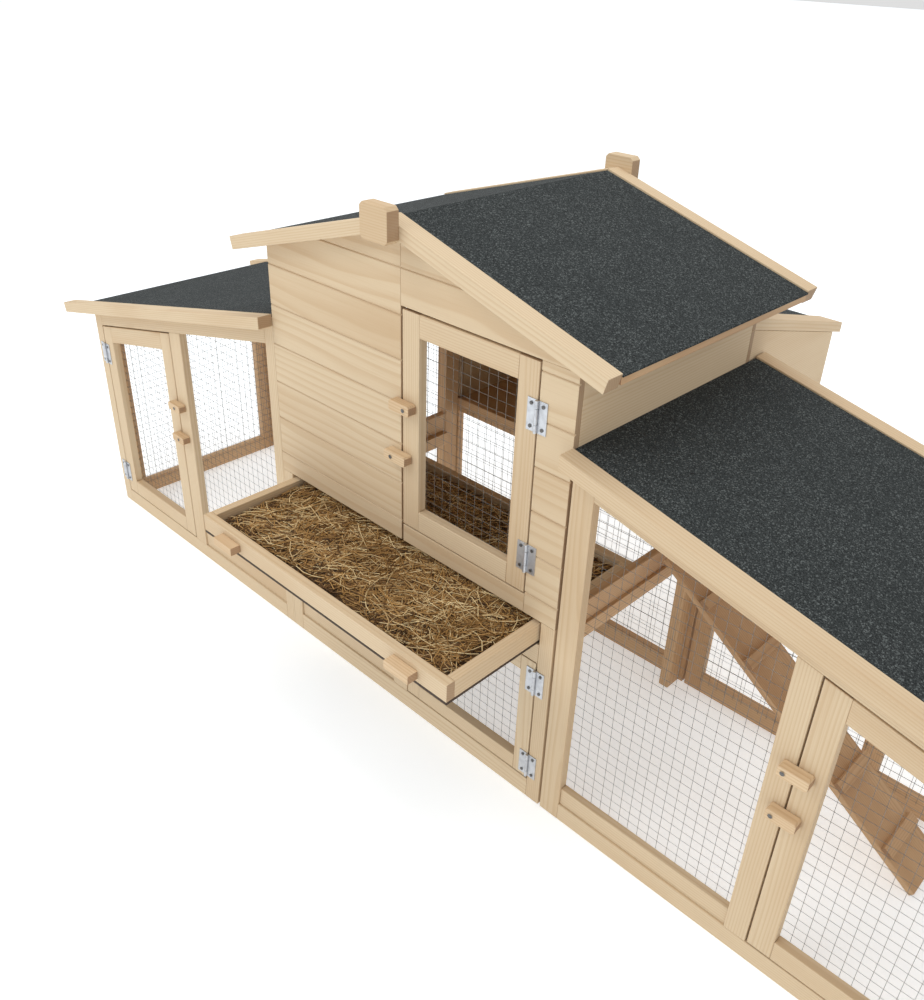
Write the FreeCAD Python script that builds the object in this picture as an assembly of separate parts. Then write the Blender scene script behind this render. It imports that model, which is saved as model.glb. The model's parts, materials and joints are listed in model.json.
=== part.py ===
"""Rabbit hutch: a two-storey gabled house between two lean-to runs, with a rear nest box.

Millimetres. +X runs right along the front, +Y to the back and +Z up. Inside the script Y = 0 is the
front face of all the frames; every part is shifted by -Y_CENTRE when it is written, so that the origin
is the centre of the footprint, on the ground, with the bedding tray pulled out.
"""
import FreeCAD
import Part
import math
import os

from FreeCAD import Vector

# ---- driving dimensions ------------------------------------------------------------------------------
HOUSE_HALF = 360.0          # half of the house width
DEPTH = 490.0               # front face of the frames to their back face
FRAME = 18.0                # depth of frame timber
BOARD = 12.0                # thickness of wall boards and the house roof boards
SIDE_BOARD = 10.0           # thickness of the side walls and the run roof boards
FELT = 3.0                  # roofing felt
MESH = 0.5                  # welded mesh, as a flat sheet
BASE_RAIL = 37.0            # height of the runs' front rails on the ground
BACK_RAIL = 40.0            # and of the rear and end rails
BACK_POST = 36.0            # width of the rear and end posts
MESH_LAP = 12.0             # how far a mesh panel laps behind its frame
INNER_RAIL = 36.0           # height of the board above the base rail of a fixed panel
INNER_SET_BACK = 4.0        # how far back from the face it stands
DOOR_RAIL = 39.0            # width of the stiles and rails of the doors
WALL_Z = 400.0              # lower edge of the boarded walls
GAP = 3.0                   # working gap round a door
TOUCH = 0.3                 # clearance between separate bodies that nearly touch

RIDGE_Z = 985.0             # top of the felt at the ridge
HOUSE_PITCH = 16.0          # degrees
EAVE_X = 428.0
ROOF_DEPTH = 513.0          # the roof boards run from the front face to here
BARGE_Y = 32.0              # bargeboard section, along Y
BARGE_Z = 24.0              # and along Z
BARGE_PROUD = 3.0           # how far a bargeboard stands above the felt

RUN_ROOF_Z = 727.0          # top of a run's felt where it meets the house
RUN_PITCH = 13.0
RUN_FELT_END = 775.0        # measured outwards from the house wall, as are all run sizes
RUN_BARGE_END = 850.0
OPENING_DROP = 56.0         # from a run's felt down to its openings and doors

POST_X = 22.0               # section of the four inner house posts
POST_Y = 40.0
POST_OUTER = HOUSE_HALF - SIDE_BOARD

DOOR_X0, DOOR_X1 = 2.0, 289.0
DOOR_Z0, DOOR_Z1 = 438.0, 838.0
MEETING_GAP = 4.0           # between the door opening and the boards left of it and above it
BOARD_PITCH = 77.0
FIRST_GROOVE_Z = 441.0
GROOVE = 3.0

GROUND_DOOR_X0, GROUND_DOOR_X1 = 14.0, 328.0
GROUND_DOOR_Z0, GROUND_DOOR_Z1 = 45.0, 312.0
GROUND_DOOR_RAIL = 32.0
GROUND_RAIL = 42.0
GROUND_TOP_RAIL = 39.0
GROUND_TOP_Z = 353.0        # top of the frame that the tray passes over
MID_POST = (-29.0, 11.5)    # the post between the fixed panel and the ground door
LEG = 30.0
SILL_Z0, SILL_Z1 = 392.0, 425.0     # rear rail under the nest opening
SIDE_WALL_LAP = 40.0        # how far the side walls reach down behind the run roofs

TRAY_HALF = 327.0
TRAY_DEPTH = 470.0
TRAY_OUT = 209.0            # how far the tray is pulled out
TRAY_Z0, TRAY_Z1 = 359.0, 393.0
TRAY_WALL = 17.0
TRAY_FLOOR = 5.0
HANDLE_X0, HANDLE_X1 = 208.0, 264.0
HANDLE_Z0, HANDLE_Z1 = 366.0, 382.0
HANDLE_DEPTH = 21.0
STRAW_GAP = 1.0             # round the straw
STRAW_DROP = 8.0            # from the tray's rim down to the straw
LEDGE_INNER = 316.0         # the ledge that the tray rests on, and the guide beside it
LEDGE_Z0 = 324.0
GUIDE_GAP = 2.0
GUIDE_OUTER = 344.0
GUIDE_TOP = 397.0
SLIDE_PLAY = 0.5            # between the tray and its ledges

NEST_HALF = 357.0
NEST_END = 835.0
NEST_BASE_Z = 392.0
NEST_FLOOR_Z = 412.0
NEST_TOP_Z = 783.0          # underside of the lid at the house wall
NEST_PITCH = 14.5
LID_END = 872.0
LID_START = DEPTH + 2.0
LID_BATTEN = 50.0           # width of the battens along the lid's ends
LID_BATTEN_Z = 20.0

RAMP_Y0, RAMP_Y1 = 298.0, 410.0
RAMP_PIVOT_X, RAMP_PIVOT_Z = 364.0, 396.0
RAMP_PITCH = 35.5
RAMP_BOARD = 12.0
FIRST_CLEAT = 95.0          # down the ramp from its pivot
CLEAT_PITCH = 125.0
CLEAT_WIDTH = 20.0
CLEAT_HEIGHT = 9.0

HINGE_LEAF = 19.0
HINGE_HEIGHT = 52.0
HINGE_PLATE = 1.5
HINGE_AXIS_Y = -3.2
BARREL_R = 3.0
PIN_R = 1.2
PIN_PLAY = 0.1
LEAF_GAP = 1.2              # from the hinge line to the flat of a leaf
SCREW_R = 2.6
SCREW_RISE = 0.9            # height of a screw head above its leaf
SCREW_FROM_AXIS = 11.4
SCREW_FROM_MIDDLE = 18.5

BUTTON_HEIGHT = 19.0
BUTTON_DEPTH = 18.0
BUTTON_CORNER = 3.0

Y_CENTRE = (LID_END - TRAY_OUT - HANDLE_DEPTH) / 2.0

HOUSE_SLOPE = math.tan(math.radians(HOUSE_PITCH))
RUN_SLOPE = math.tan(math.radians(RUN_PITCH))
NEST_SLOPE = math.tan(math.radians(NEST_PITCH))

os.makedirs("parts", exist_ok=True)


# ---- helpers -----------------------------------------------------------------------------------------
def box(x0, x1, y0, y1, z0, z1):
    """A box between opposite corners, given in any order."""
    low = Vector(min(x0, x1), min(y0, y1), min(z0, z1))
    return Part.makeBox(abs(x1 - x0), abs(y1 - y0), abs(z1 - z0), low)


def plate_y(points, y0, y1):
    """A solid with an outline given in X and Z, running from y0 to y1."""
    wire = Part.makePolygon([Vector(x, y0, z) for x, z in points + points[:1]])
    return Part.Face(wire).extrude(Vector(0, y1 - y0, 0))


def plate_x(points, x0, x1):
    """A solid with an outline given in Y and Z, running from x0 to x1."""
    wire = Part.makePolygon([Vector(x0, y, z) for y, z in points + points[:1]])
    return Part.Face(wire).extrude(Vector(x1 - x0, 0, 0))


def cylinder(radius, start, end):
    """A round bar between two points."""
    axis = end - start
    return Part.makeCylinder(radius, axis.Length, start, axis)


def write(name, solids):
    """Write one node as a STEP file in the part's frame."""
    shape = solids[0] if len(solids) == 1 else Part.makeCompound(solids)
    shape = shape.copy()
    shape.translate(Vector(0, -Y_CENTRE, 0))
    shape.exportStep("parts/%s.step" % name)


def house_z(x, drop=0.0):
    """Height of the house roof's felt at x, less a drop square to the slope."""
    return RIDGE_Z - abs(x) * HOUSE_SLOPE - drop / math.cos(math.radians(HOUSE_PITCH))


def run_z(out, drop=0.0):
    """Height of a run's felt at a distance out from the house wall, less a drop square to it."""
    return RUN_ROOF_Z - out * RUN_SLOPE - drop / math.cos(math.radians(RUN_PITCH))


def nest_z(y, rise=0.0):
    """Height of the lid's underside at y, plus a rise square to it."""
    return NEST_TOP_Z - (y - DEPTH) * NEST_SLOPE + rise / math.cos(math.radians(NEST_PITCH))


# ---- house: posts, walls and roof --------------------------------------------------------------------
ROOF_UNDER = BOARD + FELT   # from the felt's top to the underside of the roof boards


def house_posts():
    """Four posts from the ground to just under the roof boards."""
    solids = []
    for side in (-1, 1):
        for y0 in (FRAME, DEPTH - FRAME - POST_Y):
            inner = POST_OUTER - POST_X
            outline = [(side * inner, 0), (side * POST_OUTER, 0),
                       (side * POST_OUTER, house_z(POST_OUTER, ROOF_UNDER)),
                       (side * inner, house_z(inner, ROOF_UNDER))]
            solids.append(plate_y(outline, y0, y0 + POST_Y))
    return solids


def grooved(solid, x0, x1):
    """Cut the V grooves between the boards into the front face."""
    z = FIRST_GROOVE_Z
    while z < RIDGE_Z:
        cut = plate_x([(-GROOVE, z - GROOVE), (GROOVE * 0.8, z), (-GROOVE, z + GROOVE)], x0, x1)
        solid = solid.cut(cut)
        z += BOARD_PITCH
    return solid


def front_wall_left():
    """The boards from the left corner to the middle of the gable."""
    edge = DOOR_X0 - MEETING_GAP
    outline = [(-HOUSE_HALF, WALL_Z), (edge, WALL_Z), (edge, house_z(edge, ROOF_UNDER)),
               (-HOUSE_HALF, house_z(HOUSE_HALF, ROOF_UNDER))]
    return [grooved(plate_y(outline, 0, BOARD), -HOUSE_HALF, edge)]


def front_wall_right():
    """The gable over the door, the narrow boards right of it and the sill board under it."""
    edge = DOOR_X0 - MEETING_GAP
    strip = DOOR_X1 + GAP
    top = DOOR_Z1 + MEETING_GAP
    gable = plate_y([(edge, top), (HOUSE_HALF, top), (HOUSE_HALF, house_z(HOUSE_HALF, ROOF_UNDER)),
                     (0, house_z(0, ROOF_UNDER)), (edge, house_z(edge, ROOF_UNDER))], 0, BOARD)
    side = box(strip, HOUSE_HALF, 0, BOARD, WALL_Z, top)
    sill = box(DOOR_X0, strip, 0, BOARD, WALL_Z, DOOR_Z0 - GAP)
    return [grooved(gable, edge, HOUSE_HALF), grooved(side, strip, HOUSE_HALF), sill]


def side_walls():
    """The short boarded walls between the run roofs and the eaves."""
    solids = []
    z0 = RUN_ROOF_Z - SIDE_WALL_LAP
    inner = HOUSE_HALF - SIDE_BOARD
    for side in (-1, 1):
        outline = [(side * inner, z0), (side * HOUSE_HALF, z0),
                   (side * HOUSE_HALF, house_z(HOUSE_HALF, ROOF_UNDER)),
                   (side * inner, house_z(inner, ROOF_UNDER))]
        solids.append(plate_y(outline, BOARD, DEPTH - BOARD))
    return solids


def back_wall():
    """The rear gable above the nest opening, and a narrow board down each corner."""
    gable = plate_y([(-HOUSE_HALF, NEST_TOP_Z), (HOUSE_HALF, NEST_TOP_Z),
                     (HOUSE_HALF, house_z(HOUSE_HALF, ROOF_UNDER)), (0, house_z(0, ROOF_UNDER)),
                     (-HOUSE_HALF, house_z(HOUSE_HALF, ROOF_UNDER))], DEPTH - BOARD, DEPTH)
    solids = [gable]
    for side in (-1, 1):
        solids.append(box(side * (POST_OUTER - POST_X), side * HOUSE_HALF, DEPTH - BOARD, DEPTH,
                          SILL_Z1, NEST_TOP_Z))
    return solids


def roof_slab(side, low, high, end_x):
    """One slope of the house roof, between two depths below the felt's top."""
    outline = [(0, house_z(0, high)), (side * end_x, house_z(end_x, high)),
               (side * end_x, house_z(end_x, low)), (0, house_z(0, low))]
    return plate_y(outline, 0, ROOF_DEPTH)


def house_bargeboards():
    """Square battens that cap the front and back edges of both slopes."""
    solids = []
    for y0 in (-BARGE_Y, ROOF_DEPTH):
        for side in (-1, 1):
            top = -BARGE_PROUD
            low = BARGE_Z - BARGE_PROUD
            lean = BARGE_Z * math.sin(math.radians(HOUSE_PITCH))
            outline = [(0, house_z(0, top)), (side * EAVE_X, house_z(EAVE_X, top)),
                       (side * (EAVE_X - lean), house_z(EAVE_X - lean, low)), (0, house_z(0, low))]
            solids.append(plate_y(outline, y0, y0 + BARGE_Y))
    return solids


def peak_plates():
    """The blocks over the joint of the bargeboards, front and back."""
    half, low, high, thick, corner = 31.0, RIDGE_Z - 33.0, RIDGE_Z + 23.0, 24.0, 6.0
    outline = [(-half, low + corner), (-half + corner, low), (half - corner, low), (half, low + corner),
               (half, high - corner), (half - corner, high), (-half + corner, high),
               (-half, high - corner)]
    return [plate_y(outline, -BARGE_Y - thick, -BARGE_Y),
            plate_y(outline, ROOF_DEPTH + BARGE_Y, ROOF_DEPTH + BARGE_Y + thick)]


# ---- house: ground floor and tray runners --------------------------------------------------------------
def ground_front_frame():
    """Legs, rails and middle post under the tray."""
    inner = HOUSE_HALF - LEG
    door_edge = GROUND_DOOR_X1 + GAP
    top_rail = GROUND_TOP_Z - GROUND_TOP_RAIL
    return [box(-HOUSE_HALF, -inner, 0, FRAME, 0, WALL_Z),
            box(door_edge, HOUSE_HALF, 0, FRAME, 0, WALL_Z),
            box(-inner, door_edge, 0, FRAME, 0, GROUND_RAIL),
            box(MID_POST[0], MID_POST[1], 0, FRAME, GROUND_RAIL, top_rail),
            box(-inner, MID_POST[0], INNER_SET_BACK, FRAME, GROUND_RAIL, GROUND_RAIL + INNER_RAIL),
            box(-inner, door_edge, 0, FRAME, top_rail, GROUND_TOP_Z)]


def ground_back_frame():
    """Legs, rails and middle post of the rear, up to the sill of the nest opening."""
    y0, y1 = DEPTH - FRAME, DEPTH
    inner = HOUSE_HALF - BACK_POST
    return [box(-HOUSE_HALF, -inner, y0, y1, 0, SILL_Z1),
            box(inner, HOUSE_HALF, y0, y1, 0, SILL_Z1),
            box(-inner, inner, y0, y1, 0, BACK_RAIL),
            box(-BACK_RAIL / 2, BACK_RAIL / 2, y0, y1, BACK_RAIL, SILL_Z0),
            box(-inner, inner, y0, y1, SILL_Z0, SILL_Z1)]


def ground_mesh_panels():
    """Mesh behind the fixed front panel and inside the rear frame, between the posts."""
    inner = POST_OUTER - POST_X - TOUCH
    front = box(-inner, MID_POST[0] + MESH_LAP, FRAME, FRAME + MESH,
                GROUND_RAIL - MESH_LAP, GROUND_TOP_Z - GROUND_TOP_RAIL + MESH_LAP)
    back = box(-inner, inner, DEPTH - FRAME - MESH, DEPTH - FRAME, BACK_RAIL - MESH_LAP, SILL_Z0 + MESH_LAP)
    return [front, back]


def tray_runners():
    """A ledge and a guide along each side, between the posts."""
    y0, y1 = FRAME + POST_Y, DEPTH - FRAME - POST_Y
    ledge = TRAY_Z0 - TRAY_FLOOR - SLIDE_PLAY
    solids = []
    for side in (-1, 1):
        solids.append(box(side * LEDGE_INNER, side * POST_OUTER, y0, y1, LEDGE_Z0, ledge))
        solids.append(box(side * (TRAY_HALF + GUIDE_GAP), side * GUIDE_OUTER, y0, y1, ledge, GUIDE_TOP))
    return solids


# ---- runs --------------------------------------------------------------------------------------------
RUN_UNDER = SIDE_BOARD + FELT


class Run:
    """One lean-to run; side is -1 on the left and 1 on the right."""

    def __init__(self, side, gap, post, opening_end, door_start, door_end, stile_end):
        self.side = side
        self.post = (gap, post)
        self.mid = (opening_end, door_start - GAP)
        self.door = (door_start, door_end)
        self.stile = (door_end + GAP, stile_end)

    def x(self, out):
        return self.side * (HOUSE_HALF + out)

    def bar(self, outs, y0, y1, z0, drop):
        """An upright whose top follows the roof at a drop below the felt."""
        outline = [(self.x(outs[0]), z0), (self.x(outs[1]), z0),
                   (self.x(outs[1]), run_z(outs[1], drop)), (self.x(outs[0]), run_z(outs[0], drop))]
        return plate_y(outline, y0, y1)

    def rail(self, outs, y0, y1, low, high):
        """A sloping rail between two drops below the felt."""
        outline = [(self.x(outs[0]), run_z(outs[0], low)), (self.x(outs[1]), run_z(outs[1], low)),
                   (self.x(outs[1]), run_z(outs[1], high)), (self.x(outs[0]), run_z(outs[0], high))]
        return plate_y(outline, y0, y1)

    def flat(self, outs, y0, y1, z0, z1):
        return box(self.x(outs[0]), self.x(outs[1]), y0, y1, z0, z1)

    def front_frame(self):
        under = RUN_UNDER
        inside = (self.post[1], self.stile[0])
        return [self.bar(self.post, 0, FRAME, 0, under),
                self.bar(self.stile, 0, FRAME, 0, under),
                self.bar(self.mid, 0, FRAME, BASE_RAIL, OPENING_DROP),
                self.flat(inside, 0, FRAME, 0, BASE_RAIL),
                self.flat((self.post[1], self.mid[0]), INNER_SET_BACK, FRAME,
                          BASE_RAIL, BASE_RAIL + INNER_RAIL),
                self.rail(inside, 0, FRAME, OPENING_DROP, under)]

    def back_frame(self):
        under = RUN_UNDER
        y0, y1 = DEPTH - FRAME, DEPTH
        ends = (self.post[0], self.post[0] + BACK_POST)
        inside = (ends[1], self.stile[0])
        return [self.bar(ends, y0, y1, 0, under),
                self.bar(self.stile, y0, y1, 0, under),
                self.bar(self.mid, y0, y1, BACK_RAIL, OPENING_DROP),
                self.flat(inside, y0, y1, 0, BACK_RAIL),
                self.rail(inside, y0, y1, OPENING_DROP, under)]

    def end_frame(self):
        outs = (self.stile[1] - FRAME, self.stile[1])
        top = run_z(self.stile[1], RUN_UNDER)
        y0, y1 = FRAME, DEPTH - FRAME
        inside = (y0 + BACK_POST, y1 - BACK_POST)
        return [self.flat(outs, y0, inside[0], 0, top),
                self.flat(outs, inside[1], y1, 0, top),
                self.flat(outs, inside[0], inside[1], 0, BACK_RAIL),
                self.flat(outs, inside[0], inside[1], top - BACK_RAIL, top)]

    def mesh_panels(self):
        """Fixed mesh: front, back in two bays, and end."""
        under = OPENING_DROP - MESH_LAP
        front, back = FRAME, DEPTH - FRAME
        z0 = BACK_RAIL - MESH_LAP
        inner = self.stile[1] - FRAME
        end_top = run_z(self.stile[1], RUN_UNDER) - z0
        bays = ((self.post[0] + BACK_POST - MESH_LAP, self.mid[0] + MESH_LAP),
                (self.mid[1] - MESH_LAP, inner - MESH - TOUCH))
        return [self.bar((self.post[1] - MESH_LAP, self.mid[0] + MESH_LAP), front, front + MESH,
                         BASE_RAIL - MESH_LAP, under),
                self.bar(bays[0], back - MESH, back, z0, under),
                self.bar(bays[1], back - MESH, back, z0, under),
                self.flat((inner - MESH, inner), front + TOUCH, back - TOUCH, z0, end_top)]

    def roof(self, low, high):
        """A layer of the roof between two drops below the felt's top."""
        return [self.rail((0.0, RUN_FELT_END), 0, ROOF_DEPTH, low, high)]

    def bargeboards(self):
        lean = BARGE_Z * math.sin(math.radians(RUN_PITCH))
        top, low = -BARGE_PROUD, BARGE_Z - BARGE_PROUD
        solids = []
        for y0 in (-BARGE_Y, ROOF_DEPTH):
            outline = [(self.x(0), run_z(0, top)), (self.x(RUN_BARGE_END), run_z(RUN_BARGE_END, top)),
                       (self.x(RUN_BARGE_END - lean), run_z(RUN_BARGE_END - lean, low)),
                       (self.x(0), run_z(0, low))]
            solids.append(plate_y(outline, y0, y0 + BARGE_Y))
        return solids

    def door_frame(self):
        """Two stiles and two rails; the top edge follows the roof."""
        a, b = self.door
        w = DOOR_RAIL
        z0 = BASE_RAIL + GAP
        top = OPENING_DROP + GAP
        return [self.bar((a, a + w), 0, FRAME, z0, top),
                self.bar((b - w, b), 0, FRAME, z0, top),
                self.flat((a + w, b - w), 0, FRAME, z0, z0 + w),
                self.rail((a + w, b - w), 0, FRAME, top + w, top)]

    def door_mesh(self):
        a, b = self.door
        inset = DOOR_RAIL - MESH_LAP
        return [self.bar((a + inset, b - inset), FRAME, FRAME + MESH,
                         BASE_RAIL + GAP + inset, OPENING_DROP + GAP + inset)]


LEFT = Run(-1, 0.0, 29.0, 357.0, 404.0, 724.0, 757.0)
RIGHT = Run(1, 5.0, 45.0, 378.0, 418.0, 738.0, 771.0)


# ---- rectangular doors -------------------------------------------------------------------------------
def door_frame(x0, x1, z0, z1, w):
    return [box(x0, x0 + w, 0, FRAME, z0, z1),
            box(x1 - w, x1, 0, FRAME, z0, z1),
            box(x0 + w, x1 - w, 0, FRAME, z0, z0 + w),
            box(x0 + w, x1 - w, 0, FRAME, z1 - w, z1)]


def door_mesh(x0, x1, z0, z1, w):
    inset = w - MESH_LAP
    return [box(x0 + inset, x1 - inset, FRAME, FRAME + MESH, z0 + inset, z1 - inset)]


# ---- butt hinges -------------------------------------------------------------------------------------
def screw_heads(x, z):
    """Two raised screw heads on one leaf."""
    heads = []
    for dz in (-SCREW_FROM_MIDDLE, SCREW_FROM_MIDDLE):
        centre = Vector(x, -HINGE_PLATE, z + dz)
        heads.append(cylinder(SCREW_R, centre, centre + Vector(0, -SCREW_RISE, 0)))
    return heads


def hinge(x, z, door_side):
    """A butt hinge on the front face; returns its fixed leaf, moving leaf and the screws of each."""
    half = HINGE_HEIGHT / 2.0
    knuckle = HINGE_HEIGHT / 4.0
    axis = Vector(x, HINGE_AXIS_Y, z)
    up = Vector(0, 0, 1)

    def leaf(side, z0, z1):
        return box(x + side * LEAF_GAP, x + side * HINGE_LEAF, -HINGE_PLATE, 0, z0, z1)

    fixed = leaf(-door_side, z - half, z + half)
    for low, high in ((-half, -knuckle), (knuckle, half)):
        fixed = fixed.fuse(cylinder(BARREL_R, axis + up * low, axis + up * high))
    space = cylinder(BARREL_R + TOUCH, axis - up * (knuckle + TOUCH), axis + up * (knuckle + TOUCH))
    fixed = fixed.cut(space).fuse(cylinder(PIN_R, axis - up * half, axis + up * half))
    barrel = cylinder(BARREL_R, axis - up * (knuckle - TOUCH), axis + up * (knuckle - TOUCH))
    moving = leaf(door_side, z - half, z + half)
    for low, high in ((-half, -knuckle + TOUCH), (knuckle - TOUCH, half)):
        moving = moving.cut(cylinder(BARREL_R + TOUCH, axis + up * low, axis + up * high))
    moving = moving.fuse(barrel).cut(cylinder(PIN_R + PIN_PLAY, axis - up * half, axis + up * half))
    return (fixed.removeSplitter(), moving.removeSplitter(),
            screw_heads(x - door_side * SCREW_FROM_AXIS, z),
            screw_heads(x + door_side * SCREW_FROM_AXIS, z))


# Each hinged door: its hinge line, the two hinge heights and the side of the line the door lies on.
DOOR_HINGES = {
    "house_door": (DOOR_X1 + GAP / 2, (507.0, 754.0), -1),
    "ground_door": (GROUND_DOOR_X1 + GAP / 2, (79.0, 272.0), -1),
    "left_run_door": (LEFT.x(LEFT.door[1] + GAP / 2), (98.0, 430.0), 1),
    "right_run_door": (RIGHT.x(RIGHT.door[1] + GAP / 2), (98.0, 430.0), -1),
}

LID_HINGE_X = (-210.0, 210.0)
LID_AXIS_Y = DEPTH + 3.2
LID_AXIS_Z = nest_z(DEPTH + 2.2, BOARD + FELT) + 3.6
LID_LEAF_GAP = 0.5
TONGUE = 5.0                # how far the middle knuckle's tongue reaches over its leaf


def lid_hinge(x):
    """A butt hinge between the rear wall and the top of the lid."""
    half = HINGE_HEIGHT / 2.0
    knuckle = HINGE_HEIGHT / 4.0
    axis = Vector(x, LID_AXIS_Y, LID_AXIS_Z)
    along = Vector(1, 0, 0)
    fixed = box(x - half, x + half, DEPTH, DEPTH + HINGE_PLATE, LID_AXIS_Z, LID_AXIS_Z + HINGE_LEAF)
    for low, high in ((-half, -knuckle), (knuckle, half)):
        fixed = fixed.fuse(cylinder(BARREL_R, axis + along * low, axis + along * high))
    fixed = fixed.cut(cylinder(BARREL_R + TOUCH, axis - along * (knuckle + TOUCH),
                               axis + along * (knuckle + TOUCH)))
    fixed = fixed.fuse(cylinder(PIN_R, axis - along * half, axis + along * half))
    y0, y1 = axis.y + LID_LEAF_GAP, axis.y + HINGE_LEAF
    rise = BOARD + FELT
    moving = plate_x([(y0, nest_z(y0, rise)), (y1, nest_z(y1, rise)),
                      (y1, nest_z(y1, rise + HINGE_PLATE)), (y0, nest_z(y0, rise + HINGE_PLATE))],
                     x - half, x + half)
    moving = moving.cut(cylinder(BARREL_R + TOUCH, axis - along * (half + 1), axis + along * (half + 1)))
    barrel = cylinder(BARREL_R, axis - along * (knuckle - TOUCH), axis + along * (knuckle - TOUCH))
    tongue_end = y0 + TONGUE
    tongue = plate_x([(axis.y, nest_z(axis.y, rise)), (tongue_end, nest_z(tongue_end, rise)),
                      (tongue_end, nest_z(tongue_end, rise + HINGE_PLATE)),
                      (axis.y, nest_z(axis.y, rise + HINGE_PLATE))],
                     x - knuckle + TOUCH, x + knuckle - TOUCH)
    moving = moving.fuse(barrel).fuse(tongue)
    moving = moving.cut(cylinder(PIN_R + PIN_PLAY, axis - along * half, axis + along * half))
    return fixed.removeSplitter(), moving.removeSplitter()


# ---- nest box ----------------------------------------------------------------------------------------
def nest_box_walls():
    """Two sloping side panels and the rear panel."""
    solids = []
    y0, y1 = DEPTH, NEST_END
    for side in (-1, 1):
        outline = [(y0, NEST_BASE_Z), (y1, NEST_BASE_Z), (y1, nest_z(y1, -TOUCH)), (y0, nest_z(y0, -TOUCH))]
        solids.append(plate_x(outline, side * (NEST_HALF - BOARD), side * NEST_HALF))
    outline = [(y1 - BOARD, NEST_BASE_Z), (y1, NEST_BASE_Z), (y1, nest_z(y1, -TOUCH)),
               (y1 - BOARD, nest_z(y1 - BOARD, -TOUCH))]
    solids.append(plate_x(outline, -NEST_HALF + BOARD, NEST_HALF - BOARD))
    return solids


def nest_box_floor():
    return [box(-NEST_HALF + BOARD, NEST_HALF - BOARD, DEPTH, NEST_END - BOARD,
                NEST_FLOOR_Z - BOARD, NEST_FLOOR_Z)]


def lid_slab(low, high, x0, x1):
    """A layer of the lid between two heights above its underside, cut square at the wall."""
    outline = [(LID_START, nest_z(LID_START, low)), (LID_END, nest_z(LID_END, low)),
               (LID_END, nest_z(LID_END, high)), (LID_START, nest_z(LID_START, high))]
    return plate_x(outline, x0, x1)


# ---- tray --------------------------------------------------------------------------------------------
TRAY_Y0 = -TRAY_OUT
TRAY_Y1 = TRAY_Y0 + TRAY_DEPTH


def tray_frame():
    w, h = TRAY_WALL, TRAY_HALF
    return [box(-h, h, TRAY_Y0, TRAY_Y0 + w, TRAY_Z0, TRAY_Z1),
            box(-h, h, TRAY_Y1 - w, TRAY_Y1, TRAY_Z0, TRAY_Z1),
            box(-h, -h + w, TRAY_Y0 + w, TRAY_Y1 - w, TRAY_Z0, TRAY_Z1),
            box(h - w, h, TRAY_Y0 + w, TRAY_Y1 - w, TRAY_Z0, TRAY_Z1)]


def tray_handles():
    """Two blocks screwed to the lower half of the tray's front."""
    return [box(side * HANDLE_X0, side * HANDLE_X1, TRAY_Y0 - HANDLE_DEPTH, TRAY_Y0, HANDLE_Z0, HANDLE_Z1)
            for side in (-1, 1)]


def straw_bedding():
    edge = TRAY_WALL + STRAW_GAP
    return [box(-TRAY_HALF + edge, TRAY_HALF - edge, TRAY_Y0 + edge, TRAY_Y1 - edge,
                TRAY_Z0, TRAY_Z1 - STRAW_DROP)]


# ---- ramp --------------------------------------------------------------------------------------------
def on_ramp(distance, height):
    """A point on the ramp: distance down from the pivot and height above its lower face."""
    a = math.radians(RAMP_PITCH)
    return (RAMP_PIVOT_X + distance * math.cos(a) + height * math.sin(a),
            RAMP_PIVOT_Z - distance * math.sin(a) + height * math.cos(a))


def ramp_block(start, end, low, high, y0, y1):
    outline = [on_ramp(start, low), on_ramp(end, low), on_ramp(end, high), on_ramp(start, high)]
    return plate_y(outline, y0, y1)


def ramp_length():
    """Down to the ground, less a little so that the foot just rests on it."""
    return (RAMP_PIVOT_Z - TOUCH) / math.sin(math.radians(RAMP_PITCH))


def ramp_board():
    return [ramp_block(0.0, ramp_length(), 0.0, RAMP_BOARD, RAMP_Y0, RAMP_Y1)]


def ramp_cleats():
    """Strips across the ramp that give the animals a foothold."""
    top = RAMP_BOARD + CLEAT_HEIGHT
    solids = []
    start = FIRST_CLEAT
    while start + CLEAT_WIDTH < ramp_length():
        solids.append(ramp_block(start, start + CLEAT_WIDTH, RAMP_BOARD, top, RAMP_Y0, RAMP_Y1))
        start += CLEAT_PITCH
    return solids


# ---- turn buttons ------------------------------------------------------------------------------------
# Each button: left end, right end and middle height, in house coordinates.
BUTTONS = {
    "house_door_button_upper": (-14.0, 35.0, 672.5),
    "house_door_button_lower": (-28.0, 25.0, 574.5),
    "left_run_button_upper": (-775.0, -729.0, 403.0),
    "left_run_button_lower": (-775.0, -729.0, 323.5),
    "right_run_button_upper": (757.0, 803.0, 408.0),
    "right_run_button_lower": (757.0, 803.0, 326.0),
    "ground_door_button": (-14.0, 34.0, 240.0),
}


def button(x0, x1, z):
    """A square block with rounded-off ends, standing just clear of the face."""
    half, corner = BUTTON_HEIGHT / 2.0, BUTTON_CORNER
    outline = [(x0, z - half + corner), (x0 + corner, z - half), (x1 - corner, z - half),
               (x1, z - half + corner), (x1, z + half - corner), (x1 - corner, z + half),
               (x0 + corner, z + half), (x0, z + half - corner)]
    return [plate_y(outline, -TOUCH - BUTTON_DEPTH, -TOUCH)]


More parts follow.
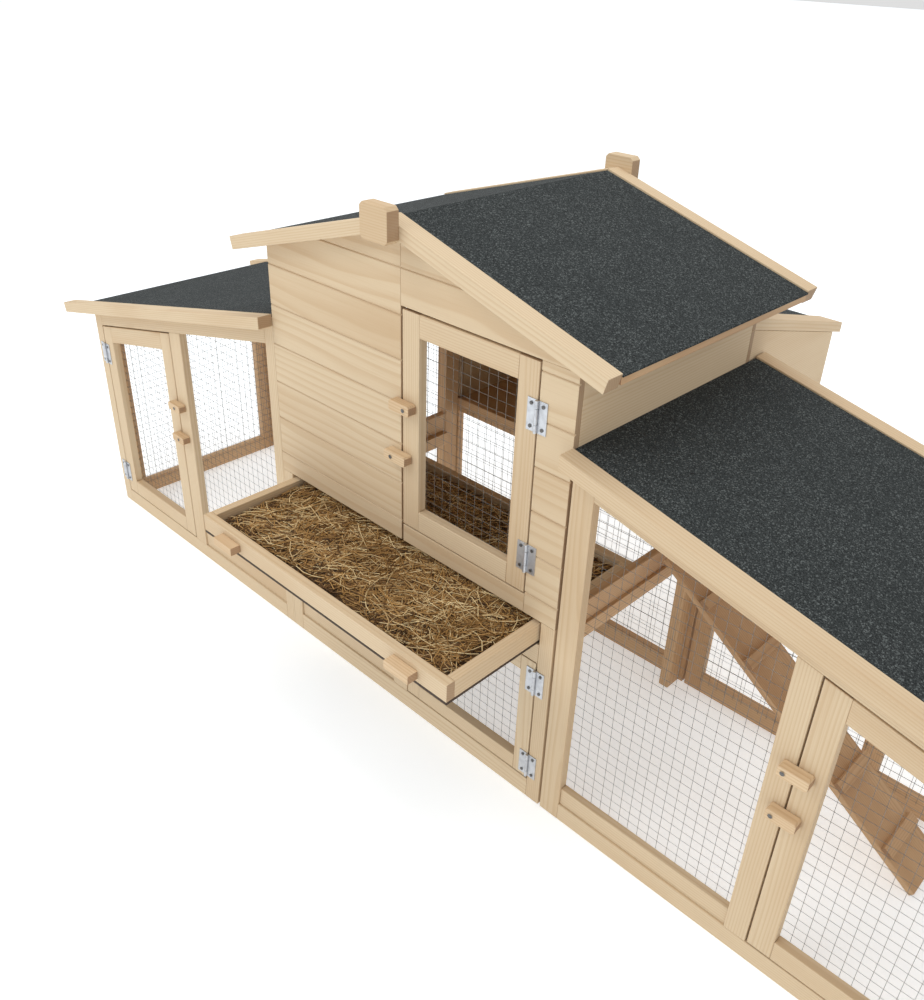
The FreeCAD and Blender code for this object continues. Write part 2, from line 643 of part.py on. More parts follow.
# ---- assembly ----------------------------------------------------------------------------------------
def main():
    write("house_posts", house_posts())
    write("front_wall_left", front_wall_left())
    write("front_wall_right", front_wall_right())
    write("side_walls", side_walls())
    write("back_wall", back_wall())
    write("house_roof_boards", [roof_slab(s, FELT, ROOF_UNDER, EAVE_X - 2.0) for s in (-1, 1)])
    write("house_roof_felt", [roof_slab(s, 0.0, FELT, EAVE_X) for s in (-1, 1)])
    write("house_bargeboards", house_bargeboards())
    write("peak_plates", peak_plates())
    write("ground_front_frame", ground_front_frame())
    write("ground_back_frame", ground_back_frame())
    write("ground_mesh_panels", ground_mesh_panels())
    write("tray_runners", tray_runners())

    for name, run in (("left_run", LEFT), ("right_run", RIGHT)):
        write(name + "_front_frame", run.front_frame())
        write(name + "_back_frame", run.back_frame())
        write(name + "_end_frame", run.end_frame())
        write(name + "_mesh_panels", run.mesh_panels())
        write(name + "_roof_board", run.roof(RUN_UNDER, FELT))
        write(name + "_roof_felt", run.roof(FELT, 0.0))
        write(name + "_bargeboards", run.bargeboards())
        write(name + "_door_frame", run.door_frame())
        write(name + "_door_mesh", run.door_mesh())

    house = (DOOR_X0, DOOR_X1, DOOR_Z0, DOOR_Z1)
    ground = (GROUND_DOOR_X0, GROUND_DOOR_X1, GROUND_DOOR_Z0, GROUND_DOOR_Z1)
    write("house_door_frame", door_frame(*house, DOOR_RAIL))
    write("house_door_mesh", door_mesh(*house, DOOR_RAIL))
    write("ground_door_frame", door_frame(*ground, GROUND_DOOR_RAIL))
    write("ground_door_mesh", door_mesh(*ground, GROUND_DOOR_RAIL))

    fixed_leaves, fixed_screws = [], []
    for name, (x, heights, side) in DOOR_HINGES.items():
        moving_parts = []
        for z in heights:
            fixed, moving, wall_screws, door_screws = hinge(x, z, side)
            fixed_leaves.append(fixed)
            fixed_screws += wall_screws
            moving_parts += [moving] + door_screws
        write(name + "_hinge_leaves", moving_parts)
    lid_leaves = []
    for x in LID_HINGE_X:
        fixed, moving = lid_hinge(x)
        fixed_leaves.append(fixed)
        lid_leaves.append(moving)
    write("fixed_hinge_leaves", fixed_leaves)
    write("fixed_hinge_screws", fixed_screws)

    write("nest_box_walls", nest_box_walls())
    write("nest_box_floor", nest_box_floor())
    inner = NEST_HALF - LID_BATTEN
    write("nest_lid_board", [lid_slab(0.0, BOARD, -inner, inner)])
    write("nest_lid_felt", [lid_slab(BOARD, BOARD + FELT, -inner, inner)])
    write("nest_lid_battens", [lid_slab(0.0, LID_BATTEN_Z, s * inner, s * NEST_HALF) for s in (-1, 1)])
    write("nest_lid_hinge_leaves", lid_leaves)

    write("tray_frame", tray_frame())
    write("tray_floor", [box(-TRAY_HALF, TRAY_HALF, TRAY_Y0, TRAY_Y1, TRAY_Z0 - TRAY_FLOOR, TRAY_Z0)])
    write("tray_handles", tray_handles())
    write("straw_bedding", straw_bedding())
    write("ramp_board", ramp_board())
    write("ramp_cleats", ramp_cleats())
    for name, (x0, x1, z) in BUTTONS.items():
        write(name, button(x0, x1, z))


main()
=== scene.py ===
"""Rabbit hutch: spruce boards, welded wire, mineral felt, zinc hinges and a tray of straw.

Metres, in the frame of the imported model: +X right along the front, +Y to the back, +Z up.
"""
import json
import math
import random

import bmesh
import bpy
from mathutils import Matrix, Vector


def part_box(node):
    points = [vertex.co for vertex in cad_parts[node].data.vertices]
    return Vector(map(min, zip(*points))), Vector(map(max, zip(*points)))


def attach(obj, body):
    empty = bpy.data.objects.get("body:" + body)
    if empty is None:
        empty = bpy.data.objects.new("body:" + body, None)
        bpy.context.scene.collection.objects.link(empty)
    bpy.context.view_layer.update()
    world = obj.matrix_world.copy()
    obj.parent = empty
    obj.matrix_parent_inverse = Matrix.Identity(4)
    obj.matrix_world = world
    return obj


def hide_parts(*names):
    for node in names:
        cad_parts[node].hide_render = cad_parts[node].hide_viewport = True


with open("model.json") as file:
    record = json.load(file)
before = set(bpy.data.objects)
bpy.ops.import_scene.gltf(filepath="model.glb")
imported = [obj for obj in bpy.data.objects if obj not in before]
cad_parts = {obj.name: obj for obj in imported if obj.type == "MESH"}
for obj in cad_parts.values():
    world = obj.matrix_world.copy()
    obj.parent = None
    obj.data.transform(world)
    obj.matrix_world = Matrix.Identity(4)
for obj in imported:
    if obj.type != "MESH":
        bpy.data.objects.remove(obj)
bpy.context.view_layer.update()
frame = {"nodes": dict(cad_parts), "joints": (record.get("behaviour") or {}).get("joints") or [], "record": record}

X, Y, Z = Vector((1, 0, 0)), Vector((0, 1, 0)), Vector((0, 0, 1))

# ---- sizes -------------------------------------------------------------------------------------------
WIRE = 0.00036              # radius of the mesh wire
MESH_PITCH = 0.019
EDGE = 0.0012               # rounding of a planed edge
METAL_EDGE = 0.0003
FIRST_GROOVE = 0.441        # height of the lowest groove of the boarded front, and the boards' pitch
BOARD_PITCH = 0.077
GROOVE = 0.004
CURVES = 9                  # swirls in the straw


# ---- materials ---------------------------------------------------------------------------------------
class Value:
    """A socket that can be used in arithmetic."""

    def __init__(self, graph, socket):
        self.graph = graph
        self.socket = socket

    def math(self, operation, a, b=None):
        inputs = {0: a} if b is None else {0: a, 1: b}
        return self.graph.add("ShaderNodeMath", {"operation": operation}, inputs)

    def __add__(self, other):
        return self.math("ADD", self, other)

    def __radd__(self, other):
        return self.math("ADD", other, self)

    def __sub__(self, other):
        return self.math("SUBTRACT", self, other)

    def __rsub__(self, other):
        return self.math("SUBTRACT", other, self)

    def __mul__(self, other):
        return self.math("MULTIPLY", self, other)

    def __rmul__(self, other):
        return self.math("MULTIPLY", other, self)

    def __truediv__(self, other):
        return self.math("DIVIDE", self, other)

    def __pow__(self, other):
        return self.math("POWER", self, other)


class Finish:
    """A material under construction; constants are set on its shader's own sockets."""

    def __init__(self, name, **constants):
        self.material = bpy.data.materials.new(name)
        self.material.use_nodes = True
        self.tree = self.material.node_tree
        self.shader = self.tree.nodes["Principled BSDF"]
        for socket, value in constants.items():
            self.shader.inputs[socket.replace("_", " ")].default_value = value

    def add(self, kind, settings=None, inputs=None, output=0):
        """One node: its settings first, then the values or links of its sockets."""
        node = self.tree.nodes.new(kind)
        for key, value in (settings or {}).items():
            setattr(node, key, value)
        for key, value in (inputs or {}).items():
            if isinstance(value, Value):
                self.tree.links.new(value.socket, node.inputs[key])
            else:
                node.inputs[key].default_value = value
        return Value(self, node.outputs[output])

    def feed(self, socket, value):
        self.tree.links.new(value.socket, self.shader.inputs[socket])

    def place(self):
        return self.add("ShaderNodeTexCoord", output="Object")

    def attribute(self, name, output="Vector"):
        return self.add("ShaderNodeAttribute", {"attribute_name": name}, output=output)

    def stretch(self, vector, factors):
        return self.add("ShaderNodeVectorMath", {"operation": "MULTIPLY"}, {0: vector, 1: factors})

    def noise(self, vector, scale, detail=2.0, roughness=0.5):
        return self.add("ShaderNodeTexNoise", None,
                        {"Vector": vector, "Scale": scale, "Detail": detail, "Roughness": roughness})

    def between(self, value, low, high):
        """0 below low and 1 above high, with a smooth rise."""
        return self.add("ShaderNodeMapRange", {"interpolation_type": "SMOOTHSTEP"},
                        {"Value": value, "From Min": low, "From Max": high})

    def mix(self, factor, a, b):
        return self.add("ShaderNodeMix", {"data_type": "RGBA"}, {0: factor, 6: a, 7: b}, 2)

    def bump(self, height, distance, strength=1.0):
        self.feed("Normal", self.add("ShaderNodeBump", None,
                                     {"Height": height, "Distance": distance, "Strength": strength}))


def colour(red, green, blue):
    """A linear colour from the usual 0 to 255 numbers."""
    def linear(c):
        c /= 255.0
        return c / 12.92 if c <= 0.04045 else ((c + 0.055) / 1.055) ** 2.4
    return (linear(red), linear(green), linear(blue), 1.0)


def spruce(name, pale, ring, knot, contrast):
    """Planed softwood. The board attribute is along the grain first, then across from the tree's heart."""
    wood = Finish(name, Roughness=0.62, Specular_IOR_Level=0.3)
    board = wood.attribute("board")
    split = wood.add("ShaderNodeSeparateXYZ", None, {0: board}, "X")
    parts = split.socket.node.outputs
    across, deep = Value(wood, parts["Y"]), Value(wood, parts["Z"])
    slow = wood.noise(wood.stretch(board, (1.5, 9.0, 9.0)), 1.0, 2.0)
    radius = (across * across + deep * deep) ** 0.5 + slow * 0.012
    years = radius / 0.0042
    year = wood.add("ShaderNodeMath", {"operation": "FRACT"}, {0: years})
    late = wood.between(year, 0.35, 0.88) * (1.0 - wood.between(year, 0.90, 1.0))
    fibre = wood.noise(wood.stretch(board, (9.0, 620.0, 620.0)), 1.0, 3.0, 0.6)
    cloud = wood.noise(wood.stretch(board, (2.2, 14.0, 14.0)), 1.0, 2.0)
    tone = wood.attribute("tone", "Fac")
    end_and_groove_shade = wood.attribute("endgrain_and_groove_shade", "Fac")

    eyes = wood.add("ShaderNodeTexVoronoi", None,
                    {"Vector": wood.stretch(board, (3.1, 8.5, 8.5)), "Scale": 1.0}, "Distance")
    chance = Value(wood, eyes.socket.node.outputs["Color"])
    chosen = wood.between(chance, 0.66, 0.70)
    eye = (1.0 - wood.between(eyes, 0.035, 0.06)) * chosen
    halo = (1.0 - wood.between(eyes, 0.05, 0.16)) * chosen

    base = wood.mix(late * contrast, pale, ring)
    base = wood.mix(wood.between(fibre, 0.45, 0.80) * 0.20, base, ring)
    base = wood.mix(wood.between(cloud, 0.45, 0.75) * 0.24 + tone * 0.18, base, ring)
    base = wood.mix(halo * 0.35, base, ring)
    base = wood.mix(eye * 0.75, base, knot)
    # End faces are darker wood; the faces inside the grooves of the boarded walls are darkened too, as painted
    # shade.
    base = wood.mix(end_and_groove_shade * 0.55, base, knot)
    wood.feed("Base Color", base)
    wood.feed("Roughness", 0.56 + fibre * 0.16)
    wood.bump(fibre * 0.6 + late * 0.4, 0.00035, 0.35)
    return wood.material


def roofing_felt():
    """Bitumen felt with a coat of fine dark slate chips."""
    felt = Finish("mineral_felt", Roughness=0.88, Specular_IOR_Level=0.25)
    place = felt.place()
    chips = felt.add("ShaderNodeTexVoronoi", None, {"Vector": place, "Scale": 560.0}, "Color")
    fine = felt.noise(place, 520.0, 2.0, 0.8)
    patch = felt.noise(place, 14.0, 3.0)
    base = felt.mix(felt.between(fine, 0.36, 0.66), colour(16, 19, 20), colour(64, 69, 69))
    base = felt.mix(felt.between(chips, 0.66, 0.88) * 0.55, base, colour(122, 128, 127))
    base = felt.mix(felt.between(patch, 0.40, 0.70) * 0.25, base, colour(36, 41, 42))
    felt.feed("Base Color", base)
    felt.bump(fine * 0.6 + chips * 0.4, 0.0012, 0.7)
    return felt.material


def metal(name, bright, dull, scale, rough):
    """Zinc-plated steel with a faintly mottled shine."""
    plate = Finish(name, Metallic=0.9)
    place = plate.place()
    spangle = plate.add("ShaderNodeTexVoronoi", None, {"Vector": place, "Scale": scale}, "Color")
    smear = plate.noise(place, scale * 0.35, 3.0)
    plate.feed("Base Color", plate.mix(plate.between(smear, 0.3, 0.7) * 0.35 + spangle * 0.12, bright, dull))
    plate.feed("Roughness", rough + smear * 0.22)
    plate.bump(smear, 0.0002, 0.3)
    return plate.material


def straw_stalk(name, dark, light):
    """Dry stalks; the tone attribute differs from stalk to stalk."""
    stalk = Finish(name, Roughness=0.55, Specular_IOR_Level=0.35)
    tone = stalk.attribute("tone", "Fac")
    streak = stalk.noise(stalk.place(), 380.0, 2.0)
    stalk.feed("Base Color", stalk.mix(tone * 0.8 + streak * 0.25, dark, light))
    stalk.feed("Roughness", 0.45 + streak * 0.25)
    stalk.bump(streak, 0.0003, 0.4)
    return stalk.material


def straw_bed():
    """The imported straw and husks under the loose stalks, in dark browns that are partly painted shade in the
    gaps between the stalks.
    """
    bed = Finish("packed_straw_and_painted_shade", Roughness=0.9)
    place = bed.place()
    coarse = bed.noise(place, 90.0, 4.0, 0.7)
    fine = bed.noise(bed.stretch(place, (1.0, 2.5, 1.0)), 420.0, 3.0, 0.7)
    # The darkest brown is partly straw and husks and partly painted shade deep between the loose stalks.
    base = bed.mix(bed.between(coarse, 0.35, 0.70), colour(40, 26, 14), colour(104, 74, 40))
    base = bed.mix(bed.between(fine, 0.50, 0.75) * 0.6, base, colour(142, 108, 62))
    bed.feed("Base Color", base)
    bed.bump(coarse + fine * 0.5, 0.004, 0.9)
    return bed.material


def dark_sheet():
    sheet = Finish("tray_sheet", Roughness=0.7)
    mottle = sheet.noise(sheet.place(), 60.0, 4.0)
    sheet.feed("Base Color", sheet.mix(mottle, colour(46, 32, 22), colour(74, 54, 38)))
    sheet.feed("Roughness", 0.6 + mottle * 0.2)
    return sheet.material


def pale_floor():
    floor = Finish("pale_floor", Roughness=0.9, Emission_Strength=0.46)
    drift = floor.noise(floor.place(), 0.8, 2.0)
    pale = floor.mix(drift, (0.84, 0.87, 0.89, 1.0), (0.87, 0.90, 0.92, 1.0))
    floor.feed("Base Color", pale)
    floor.feed("Emission Color", pale)
    return floor.material


PALE = spruce("planed_spruce", colour(215, 194, 162), colour(184, 148, 106), colour(124, 84, 54), 0.30)
# A darker, browner copy of the same spruce for the parts under the roofs and inside the runs: painted shade.
SHADED_SPRUCE = spruce("spruce_painted_shade", colour(208, 176, 138), colour(164, 120, 82), colour(104, 64, 40), 0.36)
TURNED = spruce("button_wood", colour(218, 192, 156), colour(186, 148, 108), colour(116, 70, 42), 0.4)
FELT = roofing_felt()
ZINC = metal("zinc_plate", colour(206, 208, 212), colour(158, 160, 164), 260.0, 0.30)
SCREW = metal("screw_steel", colour(120, 118, 116), colour(74, 72, 70), 900.0, 0.34)
GALVANISED = metal("galvanised_wire", colour(142, 138, 132), colour(96, 93, 88), 400.0, 0.45)
SHEET = dark_sheet()


# ---- solids of the frame -----------------------------------------------------------------------------
def solids(node):
    """Each closed solid of a CAD node, as a bmesh with its corners joined and its flat faces whole."""
    mesh = frame["nodes"][node].data
    place = [tuple(round(c, 5) for c in vertex.co) for vertex in mesh.vertices]
    group, unmatched = [], set()
    for face in mesh.polygons:
        corners = [place[i] for i in face.vertices]
        group.append(corners)
        for a, b in zip(corners, corners[1:] + corners[:1]):
            if (b, a) in unmatched:
                unmatched.remove((b, a))
            else:
                unmatched.add((a, b))
        if not unmatched:
            yield joined(group)
            group = []


def joined(triangles):
    solid = bmesh.new()
    for corners in triangles:
        solid.faces.new([solid.verts.new(c) for c in corners])
    bmesh.ops.remove_doubles(solid, verts=solid.verts, dist=0.00002)
    solid.normal_update()
    bmesh.ops.dissolve_limit(solid, angle_limit=math.radians(1.0), verts=solid.verts, edges=solid.edges)
    solid.normal_update()
    return solid


def rounded(solid, size, segments=2):
    """Bevel every real edge."""
    sharp = [e for e in solid.edges if e.is_manifold and e.calc_face_angle() > math.radians(20)]
    bmesh.ops.bevel(solid, geom=sharp, offset=size, affect="EDGES", segments=segments, profile=0.5,
                    material=-1, clamp_overlap=True)
    solid.normal_update()


def finished(name, parts, material, body, slot, *nodes):
    """Join bmeshes into one piece, which rides on a body and stands for the CAD nodes."""
    whole = bpy.data.meshes.new(name)
    total = bmesh.new()
    layers = {key: total.loops.layers.float_vector.new(key) for key in ("board",)}
    layers.update({key: total.loops.layers.float.new(key) for key in ("tone", "endgrain_and_groove_shade")})
    for part in parts:
        part.to_mesh(whole)
        part.free()
        total.from_mesh(whole)
    total.to_mesh(whole)
    total.free()
    piece = bpy.data.objects.new(name, whole)
    bpy.context.scene.collection.objects.link(piece)
    whole.materials.clear()
    whole.materials.append(material)
    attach(piece, body)
    if nodes:
        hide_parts(*nodes)
    return piece


def body_of(node):
    for body, nodes in frame["record"]["behaviour"]["bodies"].items():
        if node in nodes:
            return body


# ---- timber ------------------------------------------------------------------------------------------
ACROSS_THE_FRONT = {"front_wall_left": X, "front_wall_right": X, "back_wall": X, "side_walls": Y,
                    "nest_box_floor": X, "nest_lid_board": X}
BOARDED = {"front_wall_left", "front_wall_right", "back_wall"}


def longest_edge(solid):
    edge = max(solid.edges, key=lambda e: e.calc_length())
    return (edge.verts[1].co - edge.verts[0].co).normalized()


def grain_of(node, solid):
    """The direction of the grain: along the longest edge unless the boards are laid otherwise."""
    if node in ACROSS_THE_FRONT:
        return ACROSS_THE_FRONT[node]
    if node == "nest_box_walls":
        low = min(v.co.x for v in solid.verts)
        high = max(v.co.x for v in solid.verts)
        return X if high - low > 0.1 else Y
    return longest_edge(solid)


def in_groove(height):
    """Whether a height is within a V groove of the boarded walls."""
    return abs((height - FIRST_GROOVE + BOARD_PITCH / 2) % BOARD_PITCH - BOARD_PITCH / 2) < GROOVE


def grained(solid, grain, dice, boarded=False):
    """Give each board its own place in a tree: the board, tone and endgrain_and_groove_shade attributes; the last
    also carries painted shade on the faces inside the grooves.
    """
    side = grain.cross(Z if abs(grain.z) < 0.9 else X).normalized()
    deep = grain.cross(side).normalized()
    board = solid.loops.layers.float_vector.new("board")
    tone = solid.loops.layers.float.new("tone")
    endgrain_and_groove_shade = solid.loops.layers.float.new("endgrain_and_groove_shade")
    hearts = {}
    for face in solid.faces:
        key = math.floor((face.calc_center_median().z - FIRST_GROOVE) / BOARD_PITCH) if boarded else 0
        if key not in hearts:
            hearts[key] = (dice.uniform(-9, 9), dice.uniform(-0.06, 0.06),
                           dice.choice((-1, 1)) * dice.uniform(0.02, 0.09), dice.random())
        along, across, depth, shade = hearts[key]
        middle = Vector((0, 0, FIRST_GROOVE + (key + 0.5) * BOARD_PITCH)) if boarded else Vector()
        dark = 1.0 if abs(face.normal.dot(grain)) > 0.9 else 0.0
        # The faces inside the V grooves get painted shade, a partial darkening carried in the end-grain value.
        if boarded and abs(face.normal.z) > 0.2 and in_groove(face.calc_center_median().z):
            dark = 0.25
        for loop in face.loops:
            place = loop.vert.co - middle - solid_middle(solid) if not boarded else loop.vert.co - middle
            loop[board] = (place.dot(grain) + along, place.dot(side) + across, place.dot(deep) + depth)
            loop[tone] = shade
            loop[endgrain_and_groove_shade] = dark


def solid_middle(solid):
    """The middle of a solid's box, worked out once."""
    if solid not in MIDDLES:
        low = Vector(min(v.co[i] for v in solid.verts) for i in range(3))
        high = Vector(max(v.co[i] for v in solid.verts) for i in range(3))
        MIDDLES[solid] = (low + high) / 2
    return MIDDLES[solid]


MIDDLES = {}


def timber(node, material):
    dice = random.Random(node)
    parts = []
    for solid in solids(node):
        grain = grain_of(node, solid)
        rounded(solid, EDGE)
        if node in BOARDED:
            height = FIRST_GROOVE
            while height < 1.0:
                everything = solid.verts[:] + solid.edges[:] + solid.faces[:]
                bmesh.ops.bisect_plane(solid, geom=everything, plane_co=(0, 0, height), plane_no=(0, 0, 1))
                height += BOARD_PITCH
            solid.normal_update()
        grained(solid, grain, dice, node in BOARDED)
        parts.append(solid)
    MIDDLES.clear()
    finished(node + "_wood", parts, material, body_of(node), "spruce", node)


# Parts that get the darker spruce copy, as painted shade.
SHADED_PARTS = {"house_posts", "tray_runners", "ramp_board", "ramp_cleats", "ground_back_frame",
          "left_run_back_frame", "right_run_back_frame", "house_roof_boards", "left_run_roof_board",
          "right_run_roof_board", "nest_box_floor", "left_run_end_frame", "right_run_end_frame"}

for node_name, cad_node in sorted(frame["nodes"].items()):
    kind = cad_node.material_slots[0].material.name
    if kind == "spruce":
        button = "button" in node_name or node_name == "tray_handles"
        timber(node_name, TURNED if button else SHADED_SPRUCE if node_name in SHADED_PARTS else PALE)


# ---- felt, hinges and the tray's sheet ---------------------------------------------------------------
def plain_copy(node, material, slot, edge):
    parts = []
    for solid in solids(node):
        rounded(solid, edge)
        parts.append(solid)
    finished(node + "_skin", parts, material, body_of(node), slot, node)


for node_name, cad_node in sorted(frame["nodes"].items()):
    kind = cad_node.material_slots[0].material.name
    if kind == "roofing_felt":
        plain_copy(node_name, FELT, "roofing_felt", 0.0008)
    elif kind == "tray_sheet":
        plain_copy(node_name, SHEET, "tray_sheet", 0.0006)


def screw_head(centre, normal, radius, dice):
    """A domed head with a cross cut into it, turned at random."""
    head = bmesh.new()
    bmesh.ops.create_circle(head, cap_ends=True, segments=16, radius=radius)
    crown = bmesh.ops.inset_region(head, faces=head.faces[:], thickness=radius * 0.45, depth=radius * 0.32)
    del crown
    slots = bmesh.new()
    bmesh.ops.create_cube(slots, size=1.0)
    bmesh.ops.scale(slots, vec=(radius * 1.2, radius * 0.26, radius * 0.3), verts=slots.verts)
    cross = bpy.data.meshes.new("cross")
    slots.to_mesh(cross)
    slots.free()
    top = radius * 0.24
    for turn in (0, math.pi / 2):
        start = len(head.verts)
        head.from_mesh(cross)
        head.verts.ensure_lookup_table()
        bmesh.ops.transform(head, matrix=Matrix.Translation((0, 0, top)) @ Matrix.Rotation(turn, 4, "Z"),
                            verts=head.verts[start:])
    bpy.data.meshes.remove(cross)
    spin = Matrix.Rotation(dice.uniform(0, math.pi / 2), 4, "Z")
    lift = normal.to_track_quat("Z", "Y").to_matrix().to_4x4()
    bmesh.ops.transform(head, matrix=Matrix.Translation(centre) @ lift @ spin, verts=head.verts)
    return head


HEAD_SIZE = 0.008           # anything smaller than this in a hinge node is a screw head


def hinge_metal(node, normal):
    """Bevelled leaves and barrels; the round heads in the node become crossed screws."""
    dice = random.Random(node)
    leaves, heads = [], []
    for solid in solids(node):
        size = max(max(v.co[i] for v in solid.verts) - min(v.co[i] for v in solid.verts) for i in range(3))
        if size > HEAD_SIZE:
            rounded(solid, METAL_EDGE, 1)
            leaves.append(solid)
            continue
        middle = sum((v.co for v in solid.verts), Vector()) / len(solid.verts)
        solid.free()
        heads.append(screw_head(middle - normal * 0.0004, normal, 0.0030, dice))
    if leaves:
        finished(node + "_plate", leaves, ZINC, body_of(node), "zinc", node)
    if heads:
        finished(node + "_heads", heads, SCREW, body_of(node), "zinc", node)


for node_name, cad_node in sorted(frame["nodes"].items()):
    if cad_node.material_slots[0].material.name == "zinc":
        hinge_metal(node_name, -Y)


# ---- turn buttons' screws ----------------------------------------------------------------------------
def button_screws():
    """A screw head on each turn button, on its pivot."""
    for joint in frame["joints"]:
        if not joint["name"].endswith("_turn"):
            continue
        node = joint["child"]
        low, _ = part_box(node)
        x, _, z = joint["pos_m"]
        head = screw_head(Vector((x, low.y, z)), -Y, 0.0036, random.Random(node))
        finished(node + "_screw", [head], SCREW, node, "zinc")


button_screws()


# ---- welded wire -------------------------------------------------------------------------------------
def wires(name, paths, radius, sides=1):
    """Many thin bars, as one mesh."""
    drawing = bpy.data.curves.new(name, "CURVE")
    drawing.dimensions = "3D"
    drawing.bevel_depth = radius
    drawing.bevel_resolution = sides
    drawing.use_fill_caps = True
    for path in paths:
        spline = drawing.splines.new("POLY")
        spline.points.add(len(path) - 1)
        for point, place in zip(spline.points, path):
            point.co = (*place, 1.0)
    drawn = bpy.data.objects.new(name, drawing)
    bpy.context.scene.collection.objects.link(drawn)
    bpy.context.view_layer.update()
    mesh = bpy.data.meshes.new_from_object(drawn.evaluated_get(bpy.context.evaluated_depsgraph_get()))
    bpy.data.objects.remove(drawn)
    bpy.data.curves.remove(drawing)
    return mesh


def span(solid, axis, other, value):
    """The stretch of the sheet along one axis where the other has a value."""
    hits = []
    for edge in solid.edges:
        a, b = (vertex.co for vertex in edge.verts)
        if (a[other] - value) * (b[other] - value) <= 0 and abs(a[other] - b[other]) > 1e-6:
            share = (value - a[other]) / (b[other] - a[other])
            hits.append(a[axis] + (b[axis] - a[axis]) * share)
    return (min(hits), max(hits)) if len(hits) > 1 else None


def welded(node):
    """Crossing wires over each sheet of a mesh node, slightly uneven as they come off the roll."""
    dice = random.Random(node)
    paths = []
    for solid in solids(node):
        low = Vector(min(v.co[i] for v in solid.verts) for i in range(3))
        high = Vector(max(v.co[i] for v in solid.verts) for i in range(3))
        thin = 0 if high.x - low.x < high.y - low.y else 1
        flat = 1 - thin
        middle = (low[thin] + high[thin]) / 2
        shift = (dice.uniform(0.2, 0.8) * MESH_PITCH, dice.uniform(0.2, 0.8) * MESH_PITCH)
        for axis, other, level, start in ((2, flat, -WIRE, shift[0]), (flat, 2, WIRE, shift[1])):
            value = low[other] + start
            while value < high[other]:
                stretch = span(solid, axis, other, value)
                if stretch and stretch[1] - stretch[0] > 0.01:
                    steps = max(2, round((stretch[1] - stretch[0]) / 0.08))
                    path = []
                    for step in range(steps + 1):
                        point = [0.0, 0.0, 0.0]
                        point[thin] = middle + level
                        point[other] = value + dice.gauss(0, 0.00022)
                        point[axis] = stretch[0] + (stretch[1] - stretch[0]) * step / steps
                        path.append(point)
                    paths.append(path)
                value += MESH_PITCH
        solid.free()
    mesh = wires(node + "_wires", paths, WIRE)
    piece = bpy.data.objects.new(node + "_wires", mesh)
    bpy.context.scene.collection.objects.link(piece)
    mesh.materials.clear()
    mesh.materials.append(GALVANISED)
    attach(piece, body_of(node))
    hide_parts(node)


for node_name, cad_node in sorted(frame["nodes"].items()):
    if cad_node.material_slots[0].material.name == "welded_mesh":
        welded(node_name)


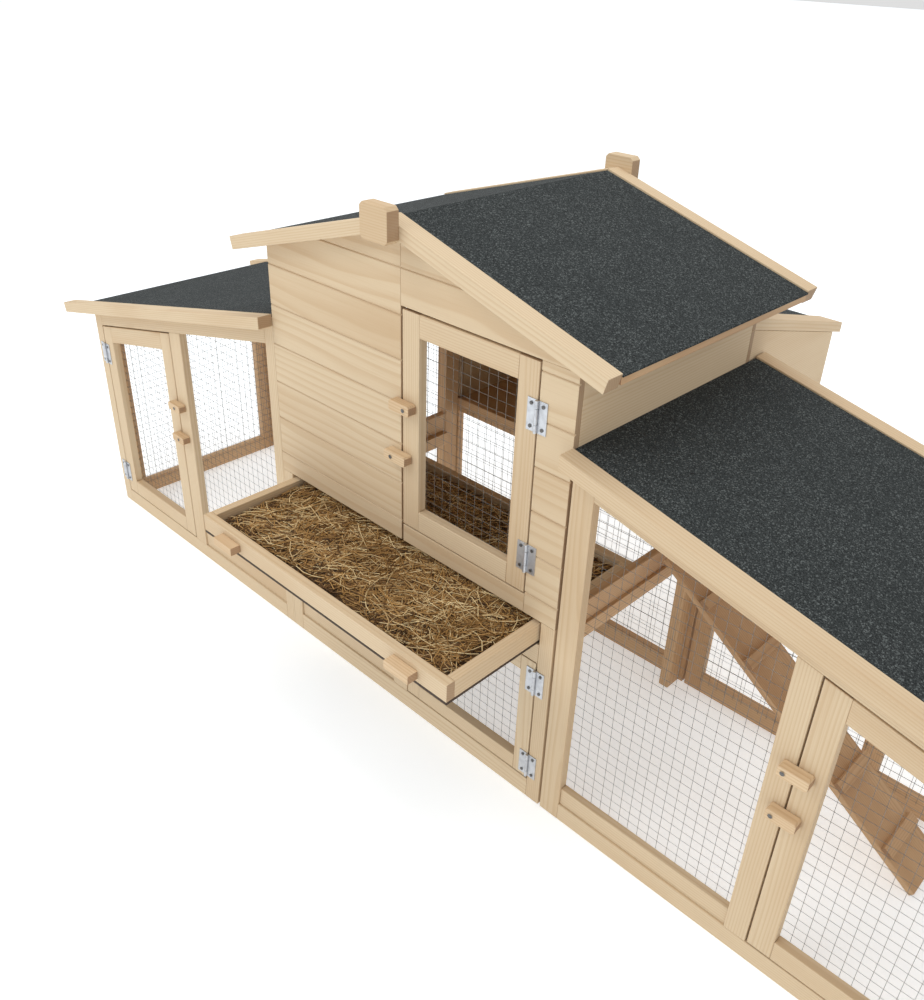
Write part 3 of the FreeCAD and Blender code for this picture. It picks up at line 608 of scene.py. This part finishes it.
# ---- straw -------------------------------------------------------------------------------------------
def straw():
    """A lumpy bed, and three kinds of loose stalk lying on it."""
    low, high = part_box("straw_bedding")
    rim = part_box("tray_frame")[1].z
    dice = random.Random("straw")
    hills = [(dice.uniform(low.x, high.x), dice.uniform(low.y, high.y), dice.uniform(0.03, 0.09),
              dice.uniform(-0.006, 0.006)) for _ in range(70)]

    def surface(x, y):
        """The height of the bed: lumpy, and falling away close to the tray's sides."""
        height = rim - 0.012
        for hx, hy, reach, lift in hills:
            height += lift * math.exp(-((x - hx) ** 2 + (y - hy) ** 2) / (reach * reach))
        side = min(x - low.x, high.x - x, y - low.y, high.y - y)
        return height - 0.008 * math.exp(-max(side, 0.0) / 0.012)

    bed = bmesh.new()
    bmesh.ops.create_grid(bed, x_segments=110, y_segments=80, size=0.5)
    middle, size = (low + high) / 2, high - low
    for vertex in bed.verts:
        x, y = middle.x + vertex.co.x * size.x, middle.y + vertex.co.y * size.y
        vertex.co = (x, y, surface(x, y))
    skirt = bmesh.ops.extrude_edge_only(bed, edges=[e for e in bed.edges if e.is_boundary])
    for element in skirt["geom"]:
        if isinstance(element, bmesh.types.BMVert):
            element.co.z = low.z + 0.0005
    bmesh.ops.holes_fill(bed, edges=[e for e in bed.edges if e.is_boundary])
    bmesh.ops.recalc_face_normals(bed, faces=bed.faces)
    finished("straw_bed", [bed], straw_bed(), "tray", "straw", "straw_bedding")

    swirls = [(dice.uniform(low.x, high.x), dice.uniform(low.y, high.y), dice.uniform(0.05, 0.12),
               dice.uniform(-1.6, 1.6)) for _ in range(CURVES)]

    def lie(x, y):
        """The direction that the stalks near a place lean towards."""
        return 0.5 + sum(turn * math.exp(-((x - sx) ** 2 + (y - sy) ** 2) / (reach * reach))
                         for sx, sy, reach, turn in swirls)

    kinds = (("straw_old", 5200, colour(52, 35, 18), colour(118, 84, 46), 0.0011, -0.001, (0.03, 0.09)),
             ("straw_gold", 4600, colour(112, 78, 38), colour(192, 150, 90), 0.0009, 0.001, (0.04, 0.12)),
             ("straw_pale", 1500, colour(168, 130, 78), colour(244, 222, 172), 0.0008, 0.003, (0.03, 0.14)))
    for kind_name, count, dark, light, radius, lift, (short, long) in kinds:
        paths = []
        margin = 0.003
        while len(paths) < count:
            x, y = dice.uniform(low.x, high.x), dice.uniform(low.y, high.y)
            heading, length = lie(x, y) + dice.gauss(0, 0.75), dice.uniform(short, long)
            bend, tilt = dice.gauss(0, 0.9), dice.gauss(0, 0.07)
            height = surface(x, y) + lift + dice.uniform(-0.002, 0.004)
            path = []
            for step in (-0.5, -0.3, -0.1, 0.1, 0.3, 0.5):
                turn = heading + bend * step
                px, py = x + math.cos(turn) * length * step, y + math.sin(turn) * length * step
                if not (low.x + margin < px < high.x - margin and low.y + margin < py < high.y - margin):
                    break
                ground = surface(px, py)
                pz = max(ground - 0.001, 0.6 * height + 0.4 * ground + tilt * length * step)
                path.append((px, py, min(pz, rim + 0.004)))
            if len(path) == 6:
                paths.append(path)
        mesh = wires(kind_name, paths, radius, 0)
        tone = mesh.attributes.new("tone", "FLOAT", "POINT")
        each = len(mesh.vertices) // len(paths)
        tones = [dice.random() for _ in paths]
        tone.data.foreach_set("value", [tones[min(i // each, len(paths) - 1)]
                                        for i in range(len(mesh.vertices))])
        piece = bpy.data.objects.new(kind_name, mesh)
        bpy.context.scene.collection.objects.link(piece)
        mesh.materials.clear()
        mesh.materials.append(straw_stalk(kind_name + "_stalk", dark, light))
        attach(piece, "tray")


straw()


# ---- floor, light and camera -------------------------------------------------------------------------
def studio():
    floor = bmesh.new()
    bmesh.ops.create_grid(floor, x_segments=1, y_segments=1, size=30.0)
    bmesh.ops.translate(floor, vec=(0, 0, -0.0005), verts=floor.verts)
    mesh = bpy.data.meshes.new("floor")
    floor.to_mesh(mesh)
    floor.free()
    mesh.materials.append(pale_floor())
    ground = bpy.data.objects.new("floor", mesh)
    bpy.context.scene.collection.objects.link(ground)

    world = bpy.data.worlds.new("studio")
    bpy.context.scene.world = world
    world.use_nodes = True
    world.node_tree.nodes["Background"].inputs["Color"].default_value = (1.0, 1.0, 1.0, 1.0)
    world.node_tree.nodes["Background"].inputs["Strength"].default_value = 0.74

    for name, place, size, power in (("key", (-1.6, -3.2, 4.2), 2.5, 62), ("fill", (3.4, -2.0, 3.0), 3.0, 8),
                                     ("top", (0.0, 0.6, 4.6), 3.5, 55)):
        lamp = bpy.data.lights.new(name, "AREA")
        lamp.energy = power
        lamp.size = size
        light = bpy.data.objects.new(name, lamp)
        light.location = place
        light.rotation_euler = (Vector((0, 0, 0.4)) - Vector(place)).to_track_quat("-Z", "Y").to_euler()
        bpy.context.scene.collection.objects.link(light)


def camera():
    """Looking down over the right run, at the house and the tray."""
    yaw, pitch, roll = (math.radians(a) for a in (42.8805, 30.7935, -2.3091))
    forward = Vector((-math.sin(yaw) * math.cos(pitch), math.cos(yaw) * math.cos(pitch), -math.sin(pitch)))
    level = Vector((math.cos(yaw), math.sin(yaw), 0))
    down = forward.cross(level)
    right = math.cos(roll) * level + math.sin(roll) * down
    up = math.sin(roll) * level - math.cos(roll) * down
    lens = bpy.data.cameras.new("camera")
    lens.lens = 33.75
    lens.sensor_width = 36.0
    lens.shift_x = -0.0105
    lens.shift_y = -0.0029
    lens.clip_start = 0.01
    view = bpy.data.objects.new("camera", lens)
    bpy.context.scene.collection.objects.link(view)
    turn = Matrix((right, up, -forward)).transposed().to_4x4()
    view.matrix_world = Matrix.Translation((1.059, -1.279, 1.344)) @ turn
    bpy.context.scene.camera = view


studio()
camera()
bpy.context.scene.view_settings.view_transform = "Standard"
